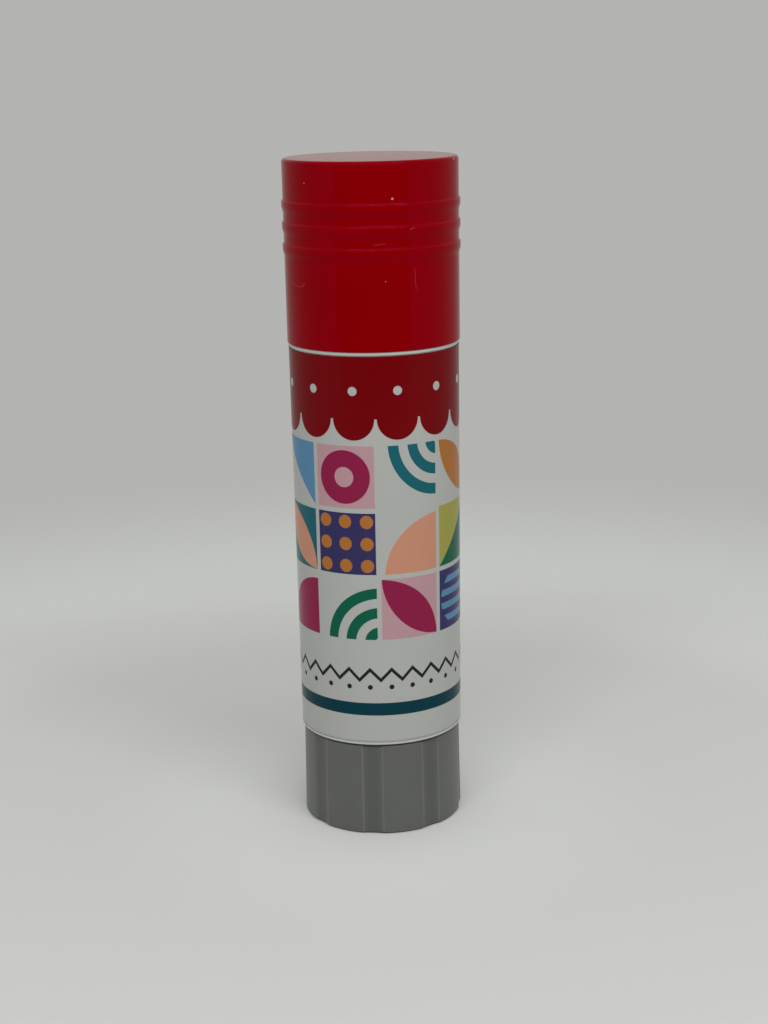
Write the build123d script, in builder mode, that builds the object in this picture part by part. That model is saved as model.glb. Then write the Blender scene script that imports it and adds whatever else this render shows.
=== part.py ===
from build123d import *
import math
import os

# A turn-up glue stick that stands closed on its turning base. All sizes are in millimetres.
# The origin is the centre of the base's underside, Z runs up the axis and the front faces -Y.

# Turning base
knob_height = 11.85
knob_inset = 0.16
knob_flare = 0.14
knob_floor_thickness = 1.5
knob_foot_recess = 0.5
knob_foot_ring_width = 2.43
knob_edge_round = 0.3
knob_head_round = 0.28
flute_count = 8
flute_width = 2.95
flute_depth = 0.22
flute_edge_round = 0.35
first_flute_angle = -97.5

# Collar of the base, which snaps into the barrel
collar_length = 3.6
collar_wall = 0.9
collar_running_gap = 0.08
snap_bead_drop = 1.6
snap_bead_length = 0.9
snap_bead_height = 0.15
snap_clearance = 0.10
collar_tip_chamfer = 0.3

# Post that holds the screw in the base
post_wall = 1.3
post_height = 6.0
web_count = 4
web_thickness = 0.9
web_height = 3.5

# Barrel
turning_gap = 0.25
barrel_length = 49.59
barrel_head_radius = 10.46
barrel_flare = 0.29
barrel_wall = 1.17
foot_rim_length = 0.28
head_rim_length = 0.36
rim_height = 0.10
rim_edge_round = 0.08
rim_groove_depth = 0.04
neck_length = 6.31
neck_wall = 0.7
neck_fit_gap = 0.20
neck_bead_height = 0.12
neck_bead_length = 1.2
neck_bead_rise = 3.0
neck_rim_round = 0.25
throat_cone_height = 0.5
throat_cone_drop = 1.6
key_rib_count = 4
key_rib_width = 1.2
key_rib_height = 0.7
key_rib_end_gap = 0.8

# Label
label_thickness = 0.08
label_glue_gap = 0.02
label_foot_gap = 0.25
label_head_gap = 0.14
label_seam_gap = 0.3

# Cap
cap_height = 22.31
cap_overhang = 0.23
cap_flare = 0.06
cap_wall = 1.19
cap_roof_thickness = 1.3
cap_crown_round = 0.3
cap_mouth_chamfer = 0.25
cap_groove_depth = 0.10
cap_ring_count = 3
cap_ring_pitch = 2.6
cap_ring_drop = 4.7
cap_ring_height = 0.18
cap_ring_step = 0.35
cap_ring_crest = 0.70
cap_ring_slope = 0.70
cap_ring_round = 0.10
cap_rib_count = 6
cap_rib_width = 0.8
cap_rib_height = 0.5
cap_rib_neck_gap = 1.0

# Screw
screw_core_radius = 2.1
screw_lead = 5.0
thread_height = 1.0
thread_root_width = 1.8
thread_crest_width = 1.1
thread_sink = 0.2
thread_run_out = 1.0
flange_radius = 3.3
flange_thickness = 1.0
shank_across_flats = 3.6
shank_fit_gap = 0.03
shank_end_gap = 0.3
screw_head_gap = 7.3
screw_tip_chamfer = 0.4

# Carrier
carrier_park_gap = 0.3
carrier_gap = 0.2
carrier_floor_thickness = 1.2
carrier_wall = 0.9
carrier_skirt_height = 5.0
carrier_hub_wall = 0.9
carrier_hub_height = 6.2
carrier_web_thickness = 0.9
carrier_web_height = 2.5
key_clearance = 0.3
thread_clearance = 0.3
lug_thickness = 1.2
lug_width = 1.6
lug_rest_gap = 0.2
lug_count = 2

# Adhesive
adhesive_gap = 0.5
adhesive_mouth_drop = 1.2
adhesive_bond_gap = 0.02
adhesive_hole_ease = 0.1
adhesive_edge_round = 0.7
adhesive_tip_gap = 1.0

# One overrun takes every cut past the face that it leaves
overrun = 0.5

# Heights that follow from the sizes above
barrel_foot = knob_height + turning_gap
shoulder = barrel_foot + barrel_length
foot_rim_head = barrel_foot + foot_rim_length
head_rim_foot = shoulder - head_rim_length
label_foot = foot_rim_head + label_foot_gap
label_head = head_rim_foot - label_head_gap
neck_top = shoulder + neck_length
cap_top = shoulder + cap_height
cap_roof = cap_top - cap_roof_thickness
collar_top = knob_height + collar_length
bead_low = collar_top - snap_bead_drop - snap_bead_length
bead_high = bead_low + snap_bead_length
knob_floor = knob_foot_recess + knob_floor_thickness
post_top = knob_floor + post_height
neck_bead_middle = shoulder + neck_bead_rise
carrier_bottom = collar_top + carrier_park_gap
carrier_floor = carrier_bottom + carrier_floor_thickness
skirt_top = carrier_floor + carrier_skirt_height
hub_top = carrier_floor + carrier_hub_height
adhesive_top = neck_top - adhesive_mouth_drop
screw_top = neck_top - screw_head_gap
adhesive_hole_top = screw_top + adhesive_tip_gap

# Radii that follow from the sizes above
barrel_foot_radius = barrel_head_radius - barrel_flare
barrel_bore_radius = barrel_foot_radius - barrel_wall
knob_head_radius = barrel_foot_radius - knob_inset
knob_foot_radius = knob_head_radius + knob_flare
cap_rim_radius = barrel_head_radius + cap_overhang
cap_bore_radius = cap_rim_radius - cap_wall
neck_outer_radius = cap_bore_radius - neck_fit_gap
neck_bead_radius = neck_outer_radius + neck_bead_height
neck_bore_radius = neck_outer_radius - neck_wall
collar_radius = barrel_bore_radius - collar_running_gap
collar_bore_radius = collar_radius - collar_wall
snap_bead_radius = barrel_bore_radius + snap_bead_height
snap_groove_radius = snap_bead_radius + snap_clearance
key_rib_tip_radius = neck_bore_radius - key_rib_height
key_rib_root_radius = (barrel_bore_radius + neck_outer_radius) / 2
post_radius = shank_across_flats / 2 + post_wall
thread_radius = screw_core_radius + thread_height
hub_bore_radius = thread_radius + thread_clearance
hub_radius = hub_bore_radius + carrier_hub_wall
carrier_radius = neck_bore_radius - carrier_gap
skirt_bore_radius = carrier_radius - carrier_wall
adhesive_radius = neck_bore_radius - adhesive_gap
adhesive_hole_radius = hub_bore_radius + adhesive_hole_ease
key_slot_width = key_rib_width + 2 * key_clearance
key_slot_tip_radius = key_rib_tip_radius - key_clearance


def barrel_radius_at(height):
    """Outer radius of the tapered barrel."""
    return barrel_foot_radius + barrel_flare * (height - barrel_foot) / barrel_length


def cap_radius_at(height):
    """Outer radius of the tapered cap, without its rings."""
    return cap_rim_radius + cap_flare * (height - shoulder) / cap_height


def barrel_point(height, proud=0):
    """A point of the half section that stands proud of the barrel's tapered side."""
    return (barrel_radius_at(height) + proud, height)


def cap_point(height, proud=0):
    """A point of the half section that stands proud of the cap's tapered side."""
    return (cap_radius_at(height) + proud, height)


# Turning base: a fluted shell, drafted, with the collar, the post and its webs inside.
# Each flute is a shallow scoop whose radius follows from its width and depth.
def flute_radius(outer_radius):
    """Radius of the scoop that makes a flute of the named width and depth."""
    land_rise = outer_radius - math.sqrt(outer_radius**2 - (flute_width / 2) ** 2)
    scoop_rise = flute_depth - land_rise
    return (flute_width / 2) ** 2 / (2 * scoop_rise) + scoop_rise / 2


with BuildPart() as knob:
    for level, outer_radius in ((0, knob_foot_radius), (knob_height, knob_head_radius)):
        scoop = flute_radius(outer_radius)
        with BuildSketch(Plane.XY.offset(level)) as fluted_section:
            Circle(outer_radius)
            with PolarLocations(outer_radius - flute_depth + scoop, flute_count, first_flute_angle):
                Circle(scoop, mode=Mode.SUBTRACT)
            fillet(fluted_section.vertices(), flute_edge_round)
    loft(ruled=True)
    chamfer(knob.faces().sort_by(Axis.Z)[0].outer_wire().edges(), knob_edge_round)
    fillet(knob.faces().sort_by(Axis.Z)[-1].outer_wire().edges(), knob_head_round)
    with BuildSketch(Plane.XZ):
        with BuildLine():
            Polyline(
                (0, knob_height - overrun),
                (collar_radius, knob_height - overrun),
                (collar_radius, bead_low),
                (snap_bead_radius, bead_low),
                (collar_radius, bead_high),
                (collar_radius, collar_top),
                (0, collar_top),
                close=True,
            )
        make_face()
    revolve(axis=Axis.Z)
    chamfer(knob.faces().sort_by(Axis.Z)[-1].outer_wire().edges(), collar_tip_chamfer)
    with BuildSketch(Plane.XY.offset(knob_floor)):
        Circle(collar_bore_radius)
    extrude(amount=collar_top - knob_floor + overrun, mode=Mode.SUBTRACT)
    with BuildSketch(Plane.XY.offset(knob_floor)):
        Circle(post_radius)
    extrude(amount=post_height)
    with BuildSketch(Plane.XY.offset(knob_floor)):
        with PolarLocations((post_radius + collar_bore_radius) / 2, web_count):
            Rectangle(collar_bore_radius - post_radius + overrun, web_thickness)
    extrude(amount=web_height)
    with BuildSketch(Plane.XY.offset(knob_floor)):
        RegularPolygon(shank_across_flats / 2 + shank_fit_gap, 6, major_radius=False)
    extrude(amount=post_height + overrun, mode=Mode.SUBTRACT)
    with BuildSketch(Plane.XY):
        Circle(knob_foot_radius - flute_depth - knob_foot_ring_width)
    extrude(amount=knob_foot_recess, mode=Mode.SUBTRACT)
knob.part.label = "knob"

# Screw: a stem with a flange that rests on the post, a hexagonal shank pressed into the post,
# and one left-hand thread, so that turning the base clockwise from below raises the carrier.
thread_foot = carrier_bottom - thread_run_out
thread_length = screw_top - screw_tip_chamfer - thread_root_width / 2 - thread_foot

with BuildPart() as spindle:
    with BuildSketch(Plane.XY.offset(post_top)):
        Circle(flange_radius)
    extrude(amount=flange_thickness)
    with BuildSketch(Plane.XY.offset(knob_floor + shank_end_gap)):
        RegularPolygon(shank_across_flats / 2, 6, major_radius=False)
    extrude(amount=post_height - shank_end_gap)
    with BuildSketch(Plane.XY.offset(post_top)):
        Circle(screw_core_radius)
    extrude(amount=screw_top - post_top)
    chamfer(spindle.faces().sort_by(Axis.Z)[-1].edges(), screw_tip_chamfer)
    with BuildLine() as thread_path:
        Helix(screw_lead, thread_length, screw_core_radius, center=(0, 0, thread_foot), lefthand=True)
    thread_start = Plane(origin=thread_path.line @ 0, x_dir=(1, 0, 0), z_dir=thread_path.line % 0)
    with BuildSketch(thread_start):
        with BuildLine():
            Polyline(
                (-thread_sink, -thread_root_width / 2),
                (thread_height, -thread_crest_width / 2),
                (thread_height, thread_crest_width / 2),
                (-thread_sink, thread_root_width / 2),
                close=True,
            )
        make_face()
    sweep(path=thread_path.line, is_frenet=True)
spindle.part.label = "spindle"

# Barrel: a drafted tube with a snap groove at its foot, a shoulder for the cap's rim, and a
# narrower neck with a low sealing bead. The label lies between two low rims, level with them, and
# a fine groove parts it from each. Key ribs run down the bore and up through the neck.
with BuildPart() as barrel:
    with BuildSketch(Plane.XZ):
        with BuildLine():
            Polyline(
                (barrel_bore_radius, barrel_foot),
                (barrel_bore_radius, bead_low - snap_clearance),
                (snap_groove_radius, bead_low - snap_clearance),
                (snap_groove_radius, bead_high + snap_clearance),
                (barrel_bore_radius, bead_high + snap_clearance),
                (barrel_bore_radius, shoulder - throat_cone_drop),
                (neck_bore_radius, shoulder - throat_cone_drop + throat_cone_height),
                (neck_bore_radius, neck_top),
                (neck_outer_radius, neck_top),
                (neck_outer_radius, neck_bead_middle + neck_bead_length / 2),
                (neck_bead_radius, neck_bead_middle + neck_bead_height),
                (neck_bead_radius, neck_bead_middle - neck_bead_height),
                (neck_outer_radius, neck_bead_middle - neck_bead_length / 2),
                (neck_outer_radius, shoulder),
                barrel_point(shoulder, rim_height),
                barrel_point(head_rim_foot, rim_height),
                barrel_point(head_rim_foot, -rim_groove_depth),
                barrel_point(label_head, -rim_groove_depth),
                barrel_point(label_head),
                barrel_point(label_foot),
                barrel_point(label_foot, -rim_groove_depth),
                barrel_point(foot_rim_head, -rim_groove_depth),
                barrel_point(foot_rim_head, rim_height),
                barrel_point(barrel_foot, rim_height),
                close=True,
            )
        make_face()
    revolve(axis=Axis.Z)
    fillet(barrel.faces().sort_by(Axis.Z)[-1].edges(), neck_rim_round)
    fillet(barrel.faces().sort_by(Axis.Z)[0].outer_wire().edges(), rim_edge_round)
    fillet(barrel.edges().filter_by(GeomType.CIRCLE).sort_by(SortBy.RADIUS)[-1], rim_edge_round)
    with BuildSketch(Plane.XY.offset(collar_top + carrier_park_gap)):
        with PolarLocations((key_rib_tip_radius + key_rib_root_radius) / 2, key_rib_count):
            Rectangle(key_rib_root_radius - key_rib_tip_radius, key_rib_width)
    extrude(amount=neck_top - key_rib_end_gap - collar_top - carrier_park_gap)
barrel.part.label = "barrel"

# Label: a film that goes once round the barrel, with a narrow seam at the back.
seam_angle = math.degrees(label_seam_gap / barrel_foot_radius)
seam_side = Plane.XZ.rotated((0, 0, 180 + seam_angle / 2))

with BuildPart() as label:
    with BuildSketch(seam_side):
        with BuildLine():
            Polyline(
                barrel_point(label_foot, label_glue_gap),
                barrel_point(label_foot, label_glue_gap + label_thickness),
                barrel_point(label_head, label_glue_gap + label_thickness),
                barrel_point(label_head, label_glue_gap),
                close=True,
            )
        make_face()
    revolve(axis=Axis.Z, revolution_arc=360 - seam_angle)
label.part.label = "label"

# Cap: a drafted cup with three grip rings near the crown. Each ring has a steep upper step, a
# crest and a longer lower slope. Inside are a groove for the neck's bead and short stiffening ribs.
cap_side = [cap_point(shoulder)]
for ring in reversed(range(cap_ring_count)):
    ring_top = cap_top - cap_ring_drop - ring * cap_ring_pitch
    crest_top = ring_top - cap_ring_step
    crest_foot = crest_top - cap_ring_crest
    ring_foot = crest_foot - cap_ring_slope
    cap_side += [
        cap_point(ring_foot),
        cap_point(crest_foot, cap_ring_height),
        cap_point(crest_top, cap_ring_height),
        cap_point(ring_top),
    ]
cap_side += [cap_point(cap_top)]

with BuildPart() as cap:
    with BuildSketch(Plane.XZ):
        with BuildLine():
            Polyline(
                *cap_side,
                (0, cap_top),
                (0, cap_roof),
                (cap_bore_radius, cap_roof),
                (cap_bore_radius, neck_bead_middle + neck_bead_length),
                (cap_bore_radius + cap_groove_depth, neck_bead_middle + neck_bead_length / 2),
                (cap_bore_radius + cap_groove_depth, neck_bead_middle - neck_bead_length / 2),
                (cap_bore_radius, neck_bead_middle - neck_bead_length),
                (cap_bore_radius, shoulder + cap_mouth_chamfer),
                (cap_bore_radius + cap_mouth_chamfer, shoulder),
                close=True,
            )
        make_face()
    revolve(axis=Axis.Z)
    fillet(cap.faces().sort_by(Axis.Z)[-1].edges(), cap_crown_round)
    rings_head = cap_top - cap_ring_drop + cap_ring_step
    rings_foot = cap_top - cap_ring_drop - cap_ring_count * cap_ring_pitch
    ring_edges = cap.edges().filter_by(GeomType.CIRCLE).filter_by_position(Axis.Z, rings_foot, rings_head)
    fillet(ring_edges.filter_by(lambda edge: edge.radius > cap_rim_radius), cap_ring_round)
    with BuildSketch(Plane.XY.offset(neck_top + cap_rib_neck_gap)):
        with PolarLocations(cap_bore_radius, cap_rib_count):
            Rectangle(2 * cap_rib_height, cap_rib_width)
    extrude(amount=cap_roof - neck_top - cap_rib_neck_gap)
cap.part.label = "cap"

# Carrier: a shallow cup for the adhesive on a hub with two lugs that sit between the screw's
# turns, half a lead apart in height on opposite sides. Slots clear the barrel's key ribs.
lug_inner_radius = screw_core_radius + thread_clearance
lug_outer_radius = hub_bore_radius + carrier_hub_wall / 2
flank_fall = screw_lead * lug_width / (4 * math.pi * lug_inner_radius)
lug_lift = thread_root_width / 2 + flank_fall + lug_rest_gap + lug_thickness / 2
turns_below_hub = math.ceil((carrier_bottom + lug_thickness - thread_foot) / screw_lead)
first_lug_height = thread_foot + (turns_below_hub - 1) * screw_lead + lug_lift

with BuildPart() as carrier:
    with BuildSketch(Plane.XY.offset(carrier_bottom)):
        Circle(carrier_radius)
    extrude(amount=carrier_floor - carrier_bottom)
    with BuildSketch(Plane.XY.offset(carrier_floor)):
        Circle(carrier_radius)
        Circle(skirt_bore_radius, mode=Mode.SUBTRACT)
    extrude(amount=carrier_skirt_height)
    with BuildSketch(Plane.XY.offset(carrier_floor)):
        Circle(hub_radius)
    extrude(amount=carrier_hub_height)
    with BuildSketch(Plane.XY.offset(carrier_floor)):
        with PolarLocations((hub_radius + skirt_bore_radius) / 2, key_rib_count, 180 / key_rib_count):
            Rectangle(skirt_bore_radius - hub_radius + overrun, carrier_web_thickness)
    extrude(amount=carrier_web_height)
    with BuildSketch(Plane.XY.offset(carrier_bottom)):
        Circle(hub_bore_radius)
    extrude(amount=hub_top - carrier_bottom + overrun, mode=Mode.SUBTRACT)
    slot_root = skirt_bore_radius - key_clearance
    slot_mouth = carrier_radius + overrun
    with BuildSketch(Plane.XY.offset(carrier_bottom)):
        with PolarLocations((slot_root + slot_mouth) / 2, key_rib_count):
            Rectangle(slot_mouth - slot_root, key_slot_width)
    extrude(amount=skirt_top - carrier_bottom + overrun, mode=Mode.SUBTRACT)
    for lug in range(lug_count):
        lug_middle = first_lug_height + screw_lead * lug / lug_count
        with BuildSketch(Plane.XY.offset(lug_middle - lug_thickness / 2)):
            with PolarLocations((lug_inner_radius + lug_outer_radius) / 2, 1, 360 * lug / lug_count):
                Rectangle(lug_outer_radius - lug_inner_radius, lug_width)
        extrude(amount=lug_thickness)
carrier.part.label = "carrier"

# Adhesive: cast in the carrier's cup, with a blind hole for the screw and grooves for the ribs.
with BuildPart() as adhesive:
    with BuildSketch(Plane.XZ):
        with BuildLine():
            Polyline(
                (hub_radius + adhesive_bond_gap, carrier_floor),
                (skirt_bore_radius - adhesive_bond_gap, carrier_floor),
                (skirt_bore_radius - adhesive_bond_gap, skirt_top),
                (adhesive_radius, skirt_top),
                (adhesive_radius, adhesive_top),
                (0, adhesive_top),
                (0, adhesive_hole_top),
                (adhesive_hole_radius, adhesive_hole_top),
                (adhesive_hole_radius, hub_top),
                (hub_radius + adhesive_bond_gap, hub_top),
                close=True,
            )
        make_face()
    revolve(axis=Axis.Z)
    fillet(adhesive.faces().sort_by(Axis.Z)[-1].edges(), adhesive_edge_round)
    with BuildSketch(Plane.XY.offset(skirt_top)):
        with PolarLocations((key_slot_tip_radius + adhesive_radius + overrun) / 2, key_rib_count):
            Rectangle(adhesive_radius + overrun - key_slot_tip_radius, key_slot_width)
    extrude(amount=adhesive_top - skirt_top + overrun, mode=Mode.SUBTRACT)
    with BuildSketch(Plane.XY.offset(carrier_floor)):
        with PolarLocations((hub_radius + skirt_bore_radius) / 2, key_rib_count, 180 / key_rib_count):
            Rectangle(
                skirt_bore_radius - hub_radius + 2 * overrun,
                carrier_web_thickness + 2 * adhesive_bond_gap,
            )
    extrude(amount=carrier_web_height, mode=Mode.SUBTRACT)
adhesive.part.label = "adhesive"

os.makedirs("parts", exist_ok=True)
for piece in (knob, spindle, barrel, label, cap, carrier, adhesive):
    export_step(piece.part, f"parts/{piece.part.label}.step")

print(f"total height {cap_top:.2f}, screw travel for each turn {screw_lead:.2f}")
print(f"room above the adhesive with the cap on {cap_roof - adhesive_top:.2f}")
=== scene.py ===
# %% [markdown]
# A turn-up glue stick, dressed for its picture.
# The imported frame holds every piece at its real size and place: cap, barrel, label, turning base,
# screw, carrier and adhesive. This notebook gives those pieces their surfaces. Some frame meshes
# are fine as they are and only need a material. Others are made again here with bmesh, where the
# real surface has a softness or a print that a plain frame mesh can't carry.

# %% Load the frame
import math

import bmesh
import bpy
from mathutils import Matrix, Vector


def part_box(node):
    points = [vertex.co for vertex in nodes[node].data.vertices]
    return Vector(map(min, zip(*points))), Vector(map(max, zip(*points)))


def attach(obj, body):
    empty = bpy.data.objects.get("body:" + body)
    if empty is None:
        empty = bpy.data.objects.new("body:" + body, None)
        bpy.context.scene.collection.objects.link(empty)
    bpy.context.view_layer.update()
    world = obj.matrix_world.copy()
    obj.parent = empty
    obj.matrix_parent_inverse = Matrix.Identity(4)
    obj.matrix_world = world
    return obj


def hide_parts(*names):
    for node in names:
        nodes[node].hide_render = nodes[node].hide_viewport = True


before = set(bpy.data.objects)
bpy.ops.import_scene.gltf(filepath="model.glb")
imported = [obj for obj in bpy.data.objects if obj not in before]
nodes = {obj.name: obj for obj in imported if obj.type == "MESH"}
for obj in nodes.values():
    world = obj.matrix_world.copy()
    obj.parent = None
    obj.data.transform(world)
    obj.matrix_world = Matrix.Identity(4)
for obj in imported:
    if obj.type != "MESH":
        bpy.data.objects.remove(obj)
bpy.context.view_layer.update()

mm = 0.001

# %% [markdown]
# The camera comes first, because every choice of finish is judged through it. The photograph was
# taken from a little above the cap, looking down by about fourteen degrees, with a roll of about
# one degree. A camera can be aimed with a Track To constraint, but a fixed turn is simpler to
# keep: pitch, roll about the line of sight, and a hair of yaw.

# %% Camera
camera_distance = 227.4 * mm
camera_height = 97.3 * mm
camera_pitch = math.radians(14.25)
camera_roll = math.radians(-1.18)
camera_yaw = math.radians(-0.21)
focal_length_mm = 65.04
nearest_view = 10 * mm

camera_data = bpy.data.cameras.new("camera")
camera_data.lens = focal_length_mm
camera_data.clip_start = nearest_view
camera = bpy.data.objects.new("camera", camera_data)
bpy.context.scene.collection.objects.link(camera)
turn = Matrix.Rotation(camera_yaw, 4, "Z") @ Matrix.Rotation(math.pi / 2 - camera_pitch, 4, "X")
turn = turn @ Matrix.Rotation(camera_roll, 4, "Z")
camera.matrix_world = Matrix.Translation((0, -camera_distance, camera_height)) @ turn
bpy.context.scene.camera = camera
bpy.context.scene.view_settings.view_transform = "Standard"
print("camera:", focal_length_mm, "mm lens,", round(camera_distance / mm, 1), "mm before the axis")

# %% [markdown]
# Four small helpers serve the whole notebook. The first turns an sRGB hex colour, the kind a
# colour picker gives, into the linear values that shader sockets expect. The second adds any node
# with its inputs and settings. The third starts a material and hands back its shader with object
# coordinates counted in millimetres, so that every grain below can be given its real size. The
# fourth makes an object from a bmesh and smooths its faces, leaves sharp every edge that turns by
# more than a given angle, and weights the normals by face area so that wide faces stay calm
# beside their small rounded edges.
#
# Short names stand for the kinds of node that come up most. A Mix node lists its sockets once for
# each type of value, all under the same names, so its colour sockets go by their numbers. Points
# that a spin leaves nearer to each other than the weld distance are merged.

# %% Helpers
maths = "ShaderNodeMath"
vector_maths = "ShaderNodeVectorMath"
noise_texture = "ShaderNodeTexNoise"
cell_texture = "ShaderNodeTexVoronoi"
map_range = "ShaderNodeMapRange"
bump_map = "ShaderNodeBump"
mix = "ShaderNodeMix"
mix_share, mix_first, mix_second = 0, 6, 7
mixed = 2
weld_distance = 0.002 * mm


def srgb(hex_code):
    """The linear colour of an sRGB hex code, by the curve of the sRGB standard."""
    channels = [int(hex_code[i:i + 2], 16) / 255 for i in (1, 3, 5)]
    linear = [c / 12.92 if c <= 0.04045 else ((c + 0.055) / 1.055) ** 2.4 for c in channels]
    return (*linear, 1.0)


def add_node(tree, kind, inputs=(), **settings):
    """Adds a node, sets its properties, and fills its inputs with values or links."""
    node = tree.nodes.new(kind)
    for name, value in settings.items():
        setattr(node, name, value)
    pairs = inputs.items() if isinstance(inputs, dict) else enumerate(inputs)
    for key, value in pairs:
        if isinstance(value, bpy.types.Node):
            value = next(socket for socket in value.outputs if socket.enabled)
        if isinstance(value, bpy.types.NodeSocket):
            tree.links.new(value, node.inputs[key])
        else:
            node.inputs[key].default_value = value
    return node


def start_material(name, roughness, ior=1.49, specular=0.5):
    """A new material, its node tree, its shader, and object coordinates in millimetres."""
    material = bpy.data.materials.new(name)
    material.use_nodes = True
    tree = material.node_tree
    shader = tree.nodes["Principled BSDF"]
    shader.inputs["Roughness"].default_value = roughness
    shader.inputs["IOR"].default_value = ior
    shader.inputs["Specular IOR Level"].default_value = specular
    place = add_node(tree, "ShaderNodeTexCoord").outputs["Object"]
    in_mm = add_node(tree, vector_maths, {0: place, "Scale": 1 / mm}, operation="SCALE")
    return material, tree, shader, in_mm


def make_object(name, mesh_in_progress, sharp_angle=35):
    """Links a finished bmesh into the scene as a smooth-shaded object."""
    mesh = bpy.data.meshes.new(name)
    mesh_in_progress.to_mesh(mesh)
    mesh_in_progress.free()
    mesh.shade_smooth()
    mesh.set_sharp_from_angle(angle=math.radians(sharp_angle))
    piece = bpy.data.objects.new(name, mesh)
    bpy.context.scene.collection.objects.link(piece)
    calm = piece.modifiers.new("calm_wide_faces", "WEIGHTED_NORMAL")
    calm.keep_sharp = True
    print(name, "has", len(mesh.polygons), "faces")
    return piece


# %% [markdown]
# The stage is a pale paper cove. A flat floor with a backdrop would do for one camera, but this
# part is looked at from every side, so the profile of the sweep is spun all the way round: a
# floor, a soft quarter bend and a wall. Recalculating turns the faces of an open bowl away from
# its middle, so they are reversed to look at the stick.

# %% Stage
floor_radius = 420 * mm
bend_radius = 160 * mm
wall_top = 200 * mm
bend_steps = 12
cove_steps = 96
cove_sharp_angle = 60

cove = bmesh.new()
profile = [cove.verts.new((0, 0, 0)), cove.verts.new((floor_radius, 0, 0))]
for step in range(1, bend_steps + 1):
    angle = math.pi / 2 * step / bend_steps
    bend_reach = floor_radius + bend_radius * math.sin(angle)
    profile.append(cove.verts.new((bend_reach, 0, bend_radius * (1 - math.cos(angle)))))
profile.append(cove.verts.new((floor_radius + bend_radius, 0, wall_top)))
edges = [cove.edges.new(pair) for pair in zip(profile, profile[1:])]
bmesh.ops.spin(cove, geom=profile + edges, axis=(0, 0, 1), cent=(0, 0, 0), angle=math.tau,
               steps=cove_steps, use_merge=True)
bmesh.ops.remove_doubles(cove, verts=cove.verts, dist=weld_distance)
bmesh.ops.recalc_face_normals(cove, faces=cove.faces)
bmesh.ops.reverse_faces(cove, faces=cove.faces)
stage = make_object("paper_cove", cove, sharp_angle=cove_sharp_angle)

# %% [markdown]
# Matt card stock scatters light evenly and has almost no gloss. The eye finds a faint mottle of fibres in
# it, so a soft noise a few millimetres wide shifts its grey a little. Over that, light and shade are
# painted into the paper. It is painted palest right round the stick, as painted light that lifts the
# shade at the stick's foot. A few centimetres out it is a little darker, as painted shade for the wedge
# of shadow behind the stick. From about the width of a hand it is pale again, as painted light. Greys
# that give way to each other with the distance from the stick's axis paint this.

# %% Paper
fibre_mottle_mm = 6.0
painted_light_within_mm = 14
painted_shade_beyond_mm = 42
outer_painted_light_from_mm = 62
outer_painted_light_beyond_mm = 88


def mottled(tree, in_mm, width_mm, first, second, detail=2):
    """Two sRGB colours that drift into each other over a real width in mm."""
    drift = add_node(tree, noise_texture, {"Vector": in_mm, "Scale": 1 / width_mm, "Detail": detail})
    return add_node(tree, mix, {mix_share: drift, mix_first: srgb(first), mix_second: srgb(second)},
                    data_type="RGBA")


paper, tree, shader, in_mm = start_material("pale_matt_paper", roughness=0.9, specular=0.2)
on_floor = add_node(tree, vector_maths, [in_mm, (1, 1, 0)], operation="MULTIPLY")
from_stick = add_node(tree, vector_maths, [on_floor], operation="LENGTH")
tone = mottled(tree, in_mm, fibre_mottle_mm, "#DDDEDB", "#E1E2DF", detail=4)
# The palest grey near the stick is painted light, the darker grey a few centimetres out is painted shade,
# and the paler grey beyond a hand's width is painted light again.
for change_from, change_to, grey in ((painted_light_within_mm, painted_shade_beyond_mm, "#D7D8D5"),
                                     (outer_painted_light_from_mm, outer_painted_light_beyond_mm, "#DEDFDC")):
    outwards = add_node(tree, map_range, [from_stick, change_from, change_to],
                        interpolation_type="SMOOTHSTEP")
    tone = add_node(tree, mix, {mix_share: outwards, mix_first: tone.outputs[mixed],
                                mix_second: srgb(grey)}, data_type="RGBA")
tree.links.new(tone.outputs[mixed], shader.inputs["Base Color"])

# %% [markdown]
# The backdrop of the photograph is pale just above the far edge of the table and settles to an
# even grey higher up. More lamps could reach the far paper, but they would also light the stick.
# So from about a hand's width out, the paper simply shows those greys to every ray that looks at
# it, straight on, in a reflection or through something clear. To the light that falls on it, it
# stays plain paper.

# %% Backdrop
backdrop_from_mm = 85
backdrop_beyond_mm = 130
backdrop_even_mm = 200

ray = add_node(tree, "ShaderNodeLightPath")
direct_look = add_node(tree, maths, [ray.outputs["Is Camera Ray"], ray.outputs["Is Glossy Ray"]],
                       operation="MAXIMUM")
any_look = add_node(tree, maths, [direct_look, ray.outputs["Is Transmission Ray"]], operation="MAXIMUM")
far_off = add_node(tree, map_range, [from_stick, backdrop_from_mm, backdrop_beyond_mm],
                   interpolation_type="SMOOTHSTEP")
shows_backdrop = add_node(tree, maths, [far_off, any_look], operation="MULTIPLY")
evening_out = add_node(tree, map_range, [from_stick, backdrop_from_mm, backdrop_even_mm],
                       interpolation_type="SMOOTHSTEP")
far_grey = add_node(tree, mix, {mix_share: evening_out, mix_first: srgb("#C5C7C3"),
                                mix_second: srgb("#B3B4B1")}, data_type="RGBA")
# The far paper glows with these greys as painted light. No lamp lights it, and the pale band just above
# the far edge is painted light too.
backdrop = add_node(tree, "ShaderNodeEmission", {"Color": far_grey.outputs[mixed], "Strength": 1})
surface = add_node(tree, "ShaderNodeMixShader", [shows_backdrop, shader, backdrop])
tree.links.new(surface.outputs[0], tree.nodes["Material Output"].inputs["Surface"])
stage.data.materials.append(paper)
print(paper.name, "has", len(tree.nodes), "nodes")

# %% [markdown]
# The light has to agree with three things in the photograph. Behind the stick lies a wide wedge of
# faint shadow with a straight far edge, each ring of the cap carries one thin line of light, and
# upright faces are a little darker than the floor. Three lamps are the usual way, but one long
# lamp, level, above and in front, gives the wedge and the lines, and an even world fills the rest.
# The camera never sees the lamp, reflections do.

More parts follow.
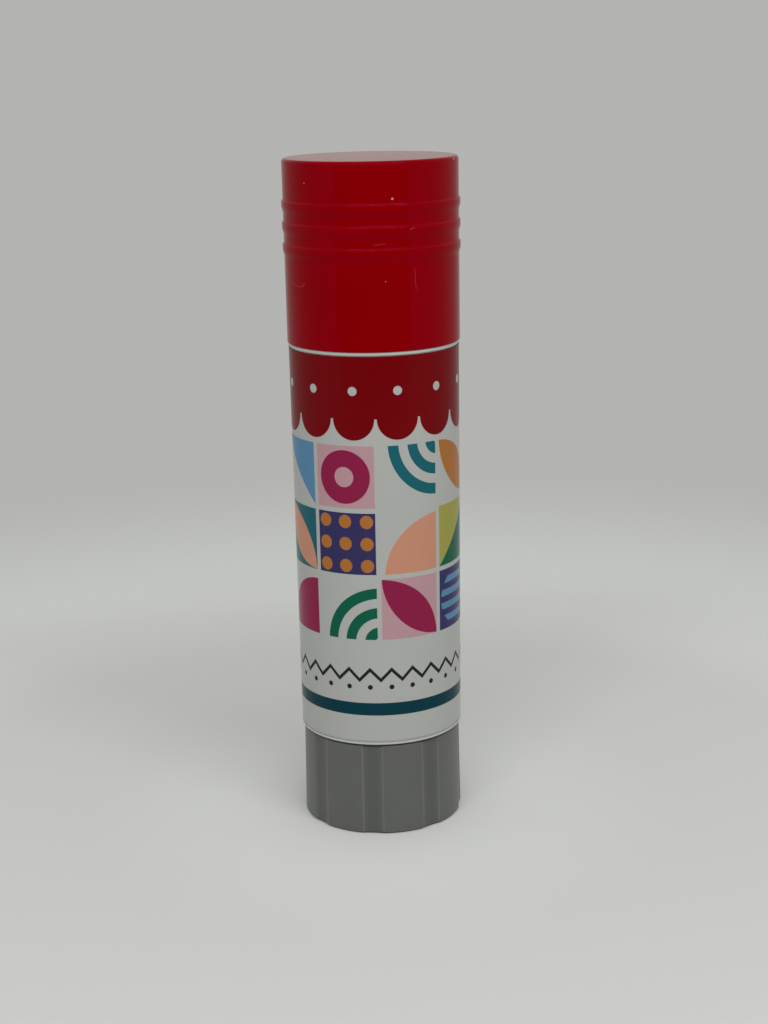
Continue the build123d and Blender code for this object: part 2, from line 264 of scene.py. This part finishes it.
# %% Lights
room_strength = 0.575
lamp_place = Vector((45 * mm, -300 * mm, 400 * mm))
lamp_target = Vector((0, 0, 40 * mm))
lamp_length = 560 * mm
lamp_depth = 36 * mm
lamp_watts = 1.19

world = bpy.data.worlds.new("soft_room")
bpy.context.scene.world = world
world.use_nodes = True
room = world.node_tree.nodes["Background"]
room.inputs["Color"].default_value = srgb("#F4F5F3")
room.inputs["Strength"].default_value = room_strength

lamp_data = bpy.data.lights.new("long_lamp", "AREA")
lamp_data.shape = "RECTANGLE"
lamp_data.size = lamp_length
lamp_data.size_y = lamp_depth
lamp_data.energy = lamp_watts
lamp = bpy.data.objects.new("long_lamp", lamp_data)
bpy.context.scene.collection.objects.link(lamp)
aim = (lamp_target - lamp_place).to_track_quat("-Z", "Y")
lamp.matrix_world = Matrix.Translation(lamp_place) @ aim.to_matrix().to_4x4()
lamp.visible_camera = False
print("lamp:", lamp_watts, "W, world strength:", room_strength)

# %% [markdown]
# In the photograph the front of the cap mirrors something dark that stood before it, and the pale
# table shows again at a clear edge on each side. A studio does that with a black card. Only
# reflections see this one.

# %% Black card
card_distance = 250 * mm
card_half_width = 278 * mm
card_height = 190 * mm
card_shift = 9 * mm

card = bmesh.new()
bmesh.ops.create_grid(card, x_segments=1, y_segments=1, size=1)
bmesh.ops.scale(card, verts=card.verts, vec=(card_half_width, card_height / 2, 1))
upright = Matrix.Rotation(math.pi / 2, 3, "X")
bmesh.ops.rotate(card, verts=card.verts, cent=(0, 0, 0), matrix=upright)
bmesh.ops.translate(card, verts=card.verts, vec=(card_shift, -card_distance, card_height / 2))
flag = make_object("black_card", card)
black, _, shader, _ = start_material("black_card_paper", roughness=1.0, specular=0.0)
shader.inputs["Base Color"].default_value = srgb("#060607")
flag.data.materials.append(black)
flag.visible_camera = False
flag.visible_diffuse = False
flag.visible_shadow = False
flag.visible_transmission = False

# %% [markdown]
# The cap is one glossy moulding. Seen close, all its edges are softened by the mould: the rim, the
# crown, and the four corners of each grip ring. It could be turned from a cylinder with loop cuts,
# but a moulding like this is a lathe shape, so its half outline is drawn once, each corner is
# rounded by its own amount, and the outline is spun.

# %% A spun shell
spin_steps = 192
corner_segments = 4


def spun_shell(corners):
    """Spins an outline of (radius, height, rounding) corners, all in mm, about the stick's axis."""
    shell = bmesh.new()
    points = [shell.verts.new((radius * mm, 0, height * mm)) for radius, height, _ in corners]
    for pair in zip(points, points[1:]):
        shell.edges.new(pair)
    for point, (_, _, rounding) in zip(points, corners):
        if rounding:
            bmesh.ops.bevel(shell, geom=[point], offset=rounding * mm, offset_type="OFFSET",
                            segments=corner_segments, profile=0.5, affect="VERTICES", material=-1)
    bmesh.ops.spin(shell, geom=shell.verts[:] + shell.edges[:], axis=(0, 0, 1), cent=(0, 0, 0),
                   angle=math.tau, steps=spin_steps, use_merge=True)
    bmesh.ops.remove_doubles(shell, verts=shell.verts, dist=weld_distance)
    bmesh.ops.recalc_face_normals(shell, faces=shell.faces)
    return shell


# %% [markdown]
# The outline starts under the middle of the roof, runs down the bore and round the mouth, climbs
# the outside over the three rings and ends in the middle of the crown. The rings rise in a short
# step at the top and fall in a longer slope below. The rim and the crown take their heights from
# the frame. The other sizes are written here, because a box can't tell them.

# %% Cap outline
cap_low, cap_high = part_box("cap")
rim_height = cap_low.z / mm
crown_height = cap_high.z / mm
crown_radius = 10.75
crown_round = 0.45
rim_radius = 10.69
rim_round = 0.12
bore_radius = 9.5
roof_thickness = 1.3
roof_corner_round = 0.3
mouth_height = 0.5
mouth_flare = 0.25
mouth_top_round = 0.1
mouth_lip_round = 0.05
ring_count = 3
ring_pitch = 2.6
first_ring_top = 73.94
ring_proud = 0.178
ring_step = 0.22
ring_crest = 0.7
ring_slope = 0.66
ring_foot_round = 0.12
ring_low_round = 0.14
ring_top_round = 0.1


def wall_radius(height):
    """The cap's outer radius at a height. The wall leans out a hair towards the crown."""
    share = (height - rim_height) / (crown_height - rim_height)
    return rim_radius + (crown_radius - rim_radius) * share


roof_height = crown_height - roof_thickness
outline = [(0, roof_height, 0), (bore_radius, roof_height, roof_corner_round),
           (bore_radius, rim_height + mouth_height, mouth_top_round),
           (bore_radius + mouth_flare, rim_height, mouth_lip_round), (rim_radius, rim_height, rim_round)]
for index in range(ring_count):
    top = first_ring_top + ring_pitch * index
    crest_top = top - ring_step
    crest_low = crest_top - ring_crest
    foot = crest_low - ring_slope
    outline += [(wall_radius(foot), foot, ring_foot_round),
                (wall_radius(crest_low) + ring_proud, crest_low, ring_low_round),
                (wall_radius(crest_top) + ring_proud, crest_top, ring_top_round),
                (wall_radius(top), top, ring_top_round)]
outline += [(crown_radius, crown_height, crown_round), (0, crown_height, 0)]
cap_mesh = spun_shell(outline)
print("cap outline:", len(outline), "corners,", len(cap_mesh.faces), "faces once spun")

# %% [markdown]
# Inside, six short ribs stiffen the wall above the neck and keep the roof from sinking in the
# mould. They show only when the cap is off and turned over. Each is a cube scaled to a thin bar
# that reaches a little into the wall and the roof.

# %% Ribs inside the cap
rib_count = 6
rib_proud = 0.5
rib_width = 0.8
rib_foot = 69.0
rib_root = 0.1

rib_length = roof_height + rib_root - rib_foot
rib_size = Matrix.Diagonal(((rib_proud + rib_root) * mm, rib_width * mm, rib_length * mm, 1))
rib_middle = bore_radius + (rib_root - rib_proud) / 2
for index in range(rib_count):
    around = Matrix.Rotation(math.tau * index / rib_count, 4, "Z")
    out = Matrix.Translation((rib_middle * mm, 0, (rib_foot + rib_length / 2) * mm))
    bmesh.ops.create_cube(cap_mesh, size=1, matrix=around @ out @ rib_size)
cap_shell = make_object("cap_shell", cap_mesh)
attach(cap_shell, "cap")
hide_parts("cap")

# %% [markdown]
# Daily use leaves hair scratches and a few pale specks on moulded plastic. Scratches could be
# drawn by hand, but a procedural way covers the whole turn. Where a smooth noise crosses one level
# it leaves long thin curves, like the contour lines of a map, and a second noise lets only short
# pieces of them through. The specks are small spots in the cells of a cell texture, and only a
# share of the cells has one.

# %% Wear
scratch_reach_mm = 24.0
scratch_level = 0.5
scratch_half_level = 0.0011
scratch_piece_mm = 3.5
scratch_gate = 0.6
speck_cell_mm = 3.2
speck_radius_mm = 0.14


def add_scratches(tree, in_mm):
    """A mask of hair scratches, over object coordinates in mm."""
    hills = add_node(tree, noise_texture, {"Vector": in_mm, "Scale": 1 / scratch_reach_mm, "Detail": 2})
    line = add_node(tree, maths, [hills, scratch_level, scratch_half_level], operation="COMPARE")
    gate = add_node(tree, noise_texture, {"Vector": in_mm, "Scale": 1 / scratch_piece_mm, "Detail": 0})
    open_gate = add_node(tree, maths, [gate, scratch_gate], operation="GREATER_THAN")
    return add_node(tree, maths, [line, open_gate], operation="MULTIPLY")


def add_specks(tree, in_mm, share):
    """A mask of small specks in a share of the cells, over object coordinates in mm."""
    cells = add_node(tree, cell_texture, {"Vector": in_mm, "Scale": 1 / speck_cell_mm})
    spot = add_node(tree, maths, [cells, speck_radius_mm / speck_cell_mm], operation="LESS_THAN")
    pick = add_node(tree, maths, [cells.outputs["Color"], 1 - share], operation="GREATER_THAN")
    return add_node(tree, maths, [spot, pick], operation="MULTIPLY")


# %% [markdown]
# The cap is red polypropylene, injection moulded in a polished mould. That gives a deep clean
# colour under a gloss with a very slight waviness, like the skin of a pepper, and a flow of the
# melt that shifts the red a hair over some millimetres. In the photograph its reflections lean
# towards purple, so the specular tint takes part of the green out of them.

# %% Cap plastic
cap_flow_mm = 8
cap_wave_mm = 2.5
cap_wave_depth_mm = 0.004
cap_scratch_strength = 0.3
cap_speck_strength = 0.7


def roughen(tree, shader, in_mm, width_mm, depth_mm, detail=2):
    """Gives a skin a soft relief, with its width and its depth in real millimetres."""
    waves = add_node(tree, noise_texture, {"Vector": in_mm, "Scale": 1 / width_mm, "Detail": detail})
    bump = add_node(tree, bump_map, {"Strength": 1, "Distance": depth_mm * mm, "Height": waves})
    tree.links.new(bump.outputs[0], shader.inputs["Normal"])


red, tree, shader, in_mm = start_material("red_polypropylene_gloss", roughness=0.1, specular=0.08)
shader.inputs["Specular Tint"].default_value = srgb("#FF6CFF")
colour = mottled(tree, in_mm, cap_flow_mm, "#850002", "#8C0006")
scratches = add_scratches(tree, in_mm)
specks = add_specks(tree, in_mm, share=0.5)
for mask, strength, overlay_colour in ((scratches, cap_scratch_strength, "#B85A60"),
                             (specks, cap_speck_strength, "#D9A09E")):
    amount = add_node(tree, maths, [mask, strength], operation="MULTIPLY")
    colour = add_node(tree, mix, {mix_share: amount, mix_first: colour.outputs[mixed],
                                  mix_second: srgb(overlay_colour)}, data_type="RGBA")
tree.links.new(colour.outputs[mixed], shader.inputs["Base Color"])
roughen(tree, shader, in_mm, cap_wave_mm, cap_wave_depth_mm)
cap_shell.data.materials.append(red)
print(red.name, "has", len(tree.nodes), "nodes")

# %% [markdown]
# The label is a printed plastic film, wrapped once round the slightly tapered barrel, with its two
# ends butted at the back. A cylinder would do, but a film has two edges, a real thickness and a
# flat print. So one upright edge is spun nearly all the way round, from one side of the seam to
# the other, and then given its thickness.

# %% Label film
label_low, label_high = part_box("label")
label_foot = label_low.z / mm
label_head = label_high.z / mm
label_height = label_head - label_foot
label_taper = 0.283
head_radius = label_high.x / mm
foot_radius = head_radius - label_taper
film_thickness = 0.08
seam_gap = 0.3
film_steps = 240
film_rows = 8

seam_angle = seam_gap / head_radius
film_angle = math.tau - seam_angle
start_turn = Matrix.Rotation(math.pi / 2 + seam_angle / 2, 3, "Z")
film = bmesh.new()
ends = [film.verts.new(start_turn @ Vector((radius * mm, 0, height * mm)))
        for radius, height in ((foot_radius, label_foot), (head_radius, label_head))]
edge = film.edges.new(ends)
bmesh.ops.subdivide_edges(film, edges=[edge], cuts=film_rows - 1)
bmesh.ops.spin(film, geom=film.verts[:] + film.edges[:], axis=(0, 0, 1), cent=(0, 0, 0),
               angle=film_angle, steps=film_steps, use_merge=False)
bmesh.ops.recalc_face_normals(film, faces=film.faces)
bmesh.ops.solidify(film, geom=film.faces[:], thickness=film_thickness * mm)

# %% [markdown]
# A flat print needs flat coordinates. U runs once round the film, with 0.5 at the front, and V runs
# from its foot to its head. The film is a plain roll, so the angle and the height of each corner
# are all that is needed, and no unwrap is run.

# %% Print coordinates
flat = film.loops.layers.uv.new("print")
for face in film.faces:
    for loop in face.loops:
        place = loop.vert.co
        turn_from_front = math.atan2(place.x, -place.y)
        loop[flat].uv = (0.5 + turn_from_front / film_angle, (place.z / mm - label_foot) / label_height)
label_film = make_object("label_film", film)
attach(label_film, "barrel")
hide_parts("label")

# %% [markdown]
# The print is a quilt of cut-paper shapes on white, under a red scalloped band, over a zigzag and a
# teal stripe. It could be painted as an image, but a node print stays sharp at any size. First
# comes the chart: three rows of eight tiles, from the foot up, each with its motif, ink and
# ground.

# %% Design chart
inks = {
    "white": "#AFB0AD", "red": "#710108", "teal": "#195F6A", "stripe": "#033743",
    "green": "#095B45", "magenta": "#8A1D46", "pink": "#B59097", "sky": "#5685A8",
    "lime": "#9C994A", "navy": "#35315E", "orange": "#A96C34", "salmon": "#C48A72",
    "charcoal": "#232427",
}
motifs = ("fan", "arches", "leaf", "ring", "kite", "dots", "stripes")
design_chart = (
    "leaf lime green", "dots white navy", "fan magenta white", "arches green white",
    "leaf magenta pink", "stripes sky navy", "kite orange white", "ring teal white",
    "kite pink magenta", "arches orange white", "leaf salmon teal", "dots orange navy",
    "fan salmon white", "kite lime green", "dots red white", "fan sky teal",
    "ring orange navy", "fan teal white", "kite sky white", "ring magenta pink",
    "arches teal white", "leaf orange white", "stripes magenta white", "dots white green",
)
tile_rows = 3
tile_columns = len(design_chart) // tile_rows

# %% [markdown]
# Next comes the flat sheet in millimetres, s round the film and t up it, and on it the tiles. Each
# tile has its own coordinates from -1 to 1 and its own number. From that number a white noise
# picks how many quarter turns the tile's motif is turned by. The sheet counts as 66 mm wide, a
# hair more than the film is round, so that tiles, scallops and zigzag all fit round it a whole
# number of times.

# %% Tiles
sheet_width = 66.0
quilt_foot = 13.0
quilt_head = 38.0
tile_width = sheet_width / tile_columns
tile_height = (quilt_head - quilt_foot) / tile_rows
turns_to_pick_from = 4
print("a tile is", round(tile_width, 2), "by", round(tile_height, 2), "mm")

print_material, tree, shader, in_mm = start_material("printed_film_satin", roughness=0.2,
                                                     specular=0.09)
flat_place = add_node(tree, "ShaderNodeUVMap", uv_map="print")
sheet = add_node(tree, vector_maths, [flat_place, (sheet_width, label_height, 0)], operation="MULTIPLY")
s_and_t = add_node(tree, "ShaderNodeSeparateXYZ", [sheet])
s = s_and_t.outputs["X"]
t = s_and_t.outputs["Y"]
above_foot = add_node(tree, vector_maths, [sheet, (0, quilt_foot, 0)], operation="SUBTRACT")
on_tiles = add_node(tree, vector_maths, [above_foot, (tile_width, tile_height, 1)], operation="DIVIDE")
tile_corner = add_node(tree, vector_maths, [on_tiles], operation="FLOOR")
tile_number = add_node(tree, vector_maths, [tile_corner, (1, tile_columns, 0)], operation="DOT_PRODUCT")
tile_middle = add_node(tree, maths, [tile_number.outputs["Value"], 0.5], operation="ADD")
tile_share = add_node(tree, maths, [tile_middle, len(design_chart)], operation="DIVIDE")
from_corner = add_node(tree, vector_maths, [on_tiles], operation="FRACTION")
in_tile = add_node(tree, vector_maths, [from_corner, (2, 2, 0), (-1, -1, 0)], operation="MULTIPLY_ADD")
chance = add_node(tree, "ShaderNodeTexWhiteNoise", {"W": tile_share}, noise_dimensions="1D")
quarters = add_node(tree, maths, [chance.outputs["Value"], turns_to_pick_from], operation="MULTIPLY")
whole_quarters = add_node(tree, maths, [quarters], operation="FLOOR")
tile_turn = add_node(tree, maths, [whole_quarters, math.pi / 2], operation="MULTIPLY")
turned = add_node(tree, "ShaderNodeVectorRotate", {"Vector": in_tile, "Angle": tile_turn},
                  rotation_type="Z_AXIS")

# %% [markdown]
# Three ramps with constant steps, one step for each tile, turn the number of a tile into its
# motif, ink and ground. The motif is written as a level of grey. A new ramp comes with two stops,
# which are used first.

# %% Chart ramps
chart = [entry.split() for entry in design_chart]
motif_levels = [motifs.index(motif) / len(motifs) for motif, _, _ in chart]
ramps = []
for colours in ([(level, level, level, 1) for level in motif_levels],
                [srgb(inks[ink]) for _, ink, _ in chart],
                [srgb(inks[ground]) for _, _, ground in chart]):
    ramp = add_node(tree, "ShaderNodeValToRGB", [tile_share])
    ramp.color_ramp.interpolation = "CONSTANT"
    stops = ramp.color_ramp.elements
    for index, colour in enumerate(colours):
        position = index / len(colours)
        stop = stops[index] if index < len(stops) else stops.new(position)
        stop.position = position
        stop.color = colour
    ramps.append(ramp)
motif_ramp, ink_ramp, ground_ramp = ramps

# %% [markdown]
# Every motif is a few distances, counted in halves of a tile. A fan is the space near one corner,
# arches are bands of that distance, a leaf is near two opposite corners at once, and a kite is one
# side of the diagonal. A ring is a band of the distance from the middle, dots are spots in nine
# small cells, and stripes are bands across a disc. Each is a mask of ones and zeros, and the grey
# ramp picks the one that the chart names.

# %% Motifs
fan_reach = 1.8
arch_width = 0.3
arch_from = 0.14
leaf_reach = 1.92
ring_middle = 0.55
ring_half_width = 0.25
dots_in_a_row = 3
dot_share = 0.3
stripe_width = 0.2
stripe_from = 0.1
disc_reach = 0.86
same_number = 0.4

near_corner = add_node(tree, vector_maths, [turned, (-1, -1, 0)], operation="DISTANCE")
far_corner = add_node(tree, vector_maths, [turned, (1, 1, 0)], operation="DISTANCE")
from_middle = add_node(tree, vector_maths, [turned], operation="LENGTH")
fan = add_node(tree, maths, [near_corner, fan_reach], operation="LESS_THAN")
arch_wave = add_node(tree, maths, [near_corner, arch_width], operation="PINGPONG")
arch_bands = add_node(tree, maths, [arch_wave, arch_from], operation="GREATER_THAN")
arches = add_node(tree, maths, [arch_bands, fan], operation="MULTIPLY")
farther_corner = add_node(tree, maths, [near_corner, far_corner], operation="MAXIMUM")
leaf = add_node(tree, maths, [farther_corner, leaf_reach], operation="LESS_THAN")
ring = add_node(tree, maths, [from_middle, ring_middle, ring_half_width], operation="COMPARE")
along_diagonal = add_node(tree, vector_maths, [turned, (1, 1, 0)], operation="DOT_PRODUCT")
kite = add_node(tree, maths, [along_diagonal, 0], operation="LESS_THAN")
half_row = dots_in_a_row / 2
small_cells = add_node(tree, vector_maths, [turned, (half_row, half_row, 0), (half_row, half_row, 0)],
                       operation="MULTIPLY_ADD")
in_small_cell = add_node(tree, vector_maths, [small_cells], operation="FRACTION")
from_dot = add_node(tree, vector_maths, [in_small_cell, (0.5, 0.5, 0)], operation="DISTANCE")
dots = add_node(tree, maths, [from_dot, dot_share], operation="LESS_THAN")
sideways = add_node(tree, vector_maths, [turned, (1, 0, 0)], operation="DOT_PRODUCT")
stripe_wave = add_node(tree, maths, [sideways, stripe_width], operation="PINGPONG")
stripe_bands = add_node(tree, maths, [stripe_wave, stripe_from], operation="GREATER_THAN")
disc = add_node(tree, maths, [from_middle, disc_reach], operation="LESS_THAN")
stripes = add_node(tree, maths, [stripe_bands, disc], operation="MULTIPLY")

motif_number = add_node(tree, maths, [motif_ramp, len(motifs)], operation="MULTIPLY")
motif_mask = 0.0
for number, mask in enumerate((fan, arches, leaf, ring, kite, dots, stripes)):
    chosen = add_node(tree, maths, [motif_number, number, same_number], operation="COMPARE")
    motif_mask = add_node(tree, maths, [chosen, mask, motif_mask], operation="MULTIPLY_ADD")

# %% [markdown]
# A narrow white margin parts the tiles, as between the patches of a quilt. The tile mask is one
# inside the quilt and inside the margins, and ink shows where that mask and the motif's are both
# one.

# %% Tile masks
tile_margin = 0.93
quilt_middle = (quilt_foot + quilt_head) / 2
quilt_half = (quilt_head - quilt_foot) / 2

tile_x_y = add_node(tree, "ShaderNodeSeparateXYZ", [in_tile])
tile_mask = add_node(tree, maths, [t, quilt_middle, quilt_half], operation="COMPARE")
for axis in ("X", "Y"):
    inside = add_node(tree, maths, [tile_x_y.outputs[axis], 0, tile_margin], operation="COMPARE")
    tile_mask = add_node(tree, maths, [tile_mask, inside], operation="MULTIPLY")
ink_mask = add_node(tree, maths, [tile_mask, motif_mask], operation="MULTIPLY")

# %% [markdown]
# The bands above and below the quilt repeat along s. The scallops are half discs that hang from
# the red band, a small white dot sits over each, and the zigzag is a thin line about a triangle
# wave, with a dot in every notch. The wave leans 45 degrees, so measured up the sheet its line is
# thicker by the root of two.

# %% Bands
scallop_pitch = 5.5
scallop_radius = 2.6
band_foot = 41.0
dot_height = 44.4
dot_radius = 0.55
zigzag_pitch = 2.75
zigzag_middle = 8.7
zigzag_half_line = 0.2
notch_dot_drop = 1.6
notch_dot_radius = 0.32
stripe_middle = 4.2
stripe_half = 0.82


def add_spots(tree, s, t, pitch, height, radius):
    """A mask of one row of round spots along the sheet, at a height and a pitch in mm."""
    along = add_node(tree, maths, [s, pitch], operation="MODULO")
    beside = add_node(tree, maths, [along, pitch / 2], operation="SUBTRACT")
    above = add_node(tree, maths, [t, height], operation="SUBTRACT")
    offset = add_node(tree, "ShaderNodeCombineXYZ", [beside, above])
    from_spot = add_node(tree, vector_maths, [offset], operation="LENGTH")
    return add_node(tree, maths, [from_spot, radius], operation="LESS_THAN")


scallops = add_spots(tree, s, t, scallop_pitch, band_foot, scallop_radius)
plain_band = add_node(tree, maths, [t, band_foot], operation="GREATER_THAN")
band = add_node(tree, maths, [plain_band, scallops], operation="MAXIMUM")
band_dots = add_spots(tree, s, t, scallop_pitch, dot_height, dot_radius)
triangle_wave = add_node(tree, maths, [s, zigzag_pitch / 2], operation="PINGPONG")
above_wave_foot = add_node(tree, maths, [t, zigzag_middle - zigzag_pitch / 4], operation="SUBTRACT")
zigzag = add_node(tree, maths, [above_wave_foot, triangle_wave, zigzag_half_line * math.sqrt(2)],
                  operation="COMPARE")
notch_dots = add_spots(tree, s, t, zigzag_pitch, zigzag_middle - notch_dot_drop, notch_dot_radius)
stripe = add_node(tree, maths, [t, stripe_middle, stripe_half], operation="COMPARE")

# %% [markdown]
# The inks go down one after another, as on a press, each where its mask is one. The film itself
# has a satin gloss, with a soft waviness from being rolled on.

# %% Inks and film
film_wave_mm = 4.0
film_wave_depth_mm = 0.006

printed = add_node(tree, mix, {mix_share: tile_mask, mix_first: srgb(inks["white"]),
                               mix_second: ground_ramp.outputs["Color"]}, data_type="RGBA")
printed = add_node(tree, mix, {mix_share: ink_mask, mix_first: printed.outputs[mixed],
                               mix_second: ink_ramp.outputs["Color"]}, data_type="RGBA")
for mask, name in ((band, "red"), (band_dots, "white"), (zigzag, "charcoal"),
                   (notch_dots, "charcoal"), (stripe, "stripe")):
    printed = add_node(tree, mix, {mix_share: mask, mix_first: printed.outputs[mixed],
                                   mix_second: srgb(inks[name])}, data_type="RGBA")
tree.links.new(printed.outputs[mixed], shader.inputs["Base Color"])
roughen(tree, shader, in_mm, film_wave_mm, film_wave_depth_mm, detail=1)
label_film.data.materials.append(print_material)
print(print_material.name, "has", len(tree.nodes), "nodes")

# %% [markdown]
# The turning base is grey polypropylene from a mould whose walls were spark eroded. That leaves a satin
# skin of fine pits, which spreads the light. Real pits are too fine to show at this size, so the grain is
# drawn about a fifth of a millimetre wide. The frame mesh already has the flutes and their rounded edges,
# so it keeps its shape here. The flutes show as soft dark bands because the bottom of each flute is
# painted darker, as painted shade, and a thin line along each flute edge is painted paler, as a painted
# highlight. How far a point lies inside the round wall tells lands, flute bottoms and edges apart.

# %% Base plastic
base_flow_mm = 5
spark_grain_mm = 0.22
spark_depth_mm = 0.004
base_foot_radius = 10.15
base_head_radius = 10.01
collar_rise = 3.6
base_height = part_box("knob")[1].z / mm - collar_rise
flute_depth = 0.22
flute_edge_depth = 0.05
flute_shade_strength = 0.7
edge_highlight_strength = 0.6
base_speck_strength = 0.4

grey_plastic, tree, shader, in_mm = start_material("grey_polypropylene_satin", roughness=0.36,
                                                   specular=0.4)
colour = mottled(tree, in_mm, base_flow_mm, "#5B5C5A", "#60625F", detail=3)
height = add_node(tree, "ShaderNodeSeparateXYZ", [in_mm]).outputs["Z"]
wall = add_node(tree, map_range, [height, 0, base_height, base_foot_radius, base_head_radius])
across = add_node(tree, vector_maths, [in_mm, (1, 1, 0)], operation="MULTIPLY")
from_axis = add_node(tree, vector_maths, [across], operation="LENGTH")
depth = add_node(tree, maths, [wall, from_axis], operation="SUBTRACT")
# The darkening at the bottom of each flute is painted shade, and the paler line along each flute edge is
# a painted highlight. The specks are real dust.
painted_flute_shade = add_node(tree, map_range, [depth, flute_edge_depth, flute_depth],
                    interpolation_type="SMOOTHSTEP")
past_edge = add_node(tree, maths, [depth, flute_edge_depth], operation="SUBTRACT")
from_edge = add_node(tree, maths, [past_edge], operation="ABSOLUTE")
painted_edge_highlight = add_node(tree, map_range, [from_edge, flute_edge_depth, 0])
specks = add_specks(tree, in_mm, share=0.12)
for mask, strength, overlay_colour in ((painted_flute_shade, flute_shade_strength, "#525451"),
                             (painted_edge_highlight, edge_highlight_strength, "#717370"),
                             (specks, base_speck_strength, "#939593")):
    amount = add_node(tree, maths, [mask, strength], operation="MULTIPLY")
    colour = add_node(tree, mix, {mix_share: amount, mix_first: colour.outputs[mixed],
                                  mix_second: srgb(overlay_colour)}, data_type="RGBA")
tree.links.new(colour.outputs[mixed], shader.inputs["Base Color"])
roughen(tree, shader, in_mm, spark_grain_mm, spark_depth_mm, detail=3)
for name in ("knob", "spindle"):
    nodes[name].material_slots[0].material = grey_plastic
print(grey_plastic.name, "has", len(tree.nodes), "nodes")

# %% [markdown]
# Barrel and carrier are white polypropylene. The barrel comes from a smooth mould and has a soft
# gloss. Thin white polypropylene lets some light in, so a little subsurface scattering with a
# reach of half a millimetre takes the hardness off its edges.

# %% White plastic
white_flow_mm = 6
white_wave_mm = 3
white_wave_depth_mm = 0.004
white_light_share = 0.15
white_light_reach_mm = 0.5

white_plastic, tree, shader, in_mm = start_material("white_polypropylene_soft_gloss", roughness=0.26)
colour = mottled(tree, in_mm, white_flow_mm, "#B9BAB6", "#BFC0BD")
tree.links.new(colour.outputs[mixed], shader.inputs["Base Color"])
shader.inputs["Subsurface Weight"].default_value = white_light_share
shader.inputs["Subsurface Radius"].default_value = (1.0, 0.9, 0.8)
shader.inputs["Subsurface Scale"].default_value = white_light_reach_mm * mm
roughen(tree, shader, in_mm, white_wave_mm, white_wave_depth_mm)
for name in ("barrel", "carrier"):
    nodes[name].material_slots[0].material = white_plastic
print(white_plastic.name, "has", len(tree.nodes), "nodes")

# %% [markdown]
# The adhesive is a soap gel, cast hot into the carrier. It is off-white and waxy: light goes in
# and spreads about a millimetre, the skin has a dull sheen, and where it slid past the ribs it
# is smoothed into long faint streaks. Stretching the noise along the axis gives those streaks.

# %% Adhesive
cloud_mm = 3
streak_width_mm = 0.5
streak_stretch = 14
streak_share = 0.6
relief_depth_mm = 0.03
wax_light_share = 0.5
wax_light_reach_mm = 1.2

gel, tree, shader, in_mm = start_material("waxy_soap_gel", roughness=0.5, ior=1.45, specular=0.4)
cloud = add_node(tree, noise_texture, {"Vector": in_mm, "Scale": 1 / cloud_mm, "Detail": 3})
colour = add_node(tree, mix, {mix_share: cloud, mix_first: srgb("#D9D4C3"), mix_second: srgb("#E2DED0")},
                  data_type="RGBA")
tree.links.new(colour.outputs[mixed], shader.inputs["Base Color"])
shader.inputs["Subsurface Weight"].default_value = wax_light_share
shader.inputs["Subsurface Radius"].default_value = (1.0, 0.9, 0.7)
shader.inputs["Subsurface Scale"].default_value = wax_light_reach_mm * mm
streak_place = add_node(tree, "ShaderNodeMapping", {"Vector": in_mm, "Scale": (1, 1, 1 / streak_stretch)})
streaks = add_node(tree, noise_texture, {"Vector": streak_place, "Scale": 1 / streak_width_mm,
                                         "Detail": 3})
relief = add_node(tree, maths, [streaks, streak_share, cloud], operation="MULTIPLY_ADD")
bump = add_node(tree, bump_map, {"Strength": 1, "Distance": relief_depth_mm * mm, "Height": relief})
tree.links.new(bump.outputs[0], shader.inputs["Normal"])
nodes["adhesive"].material_slots[0].material = gel
print(gel.name, "has", len(tree.nodes), "nodes")
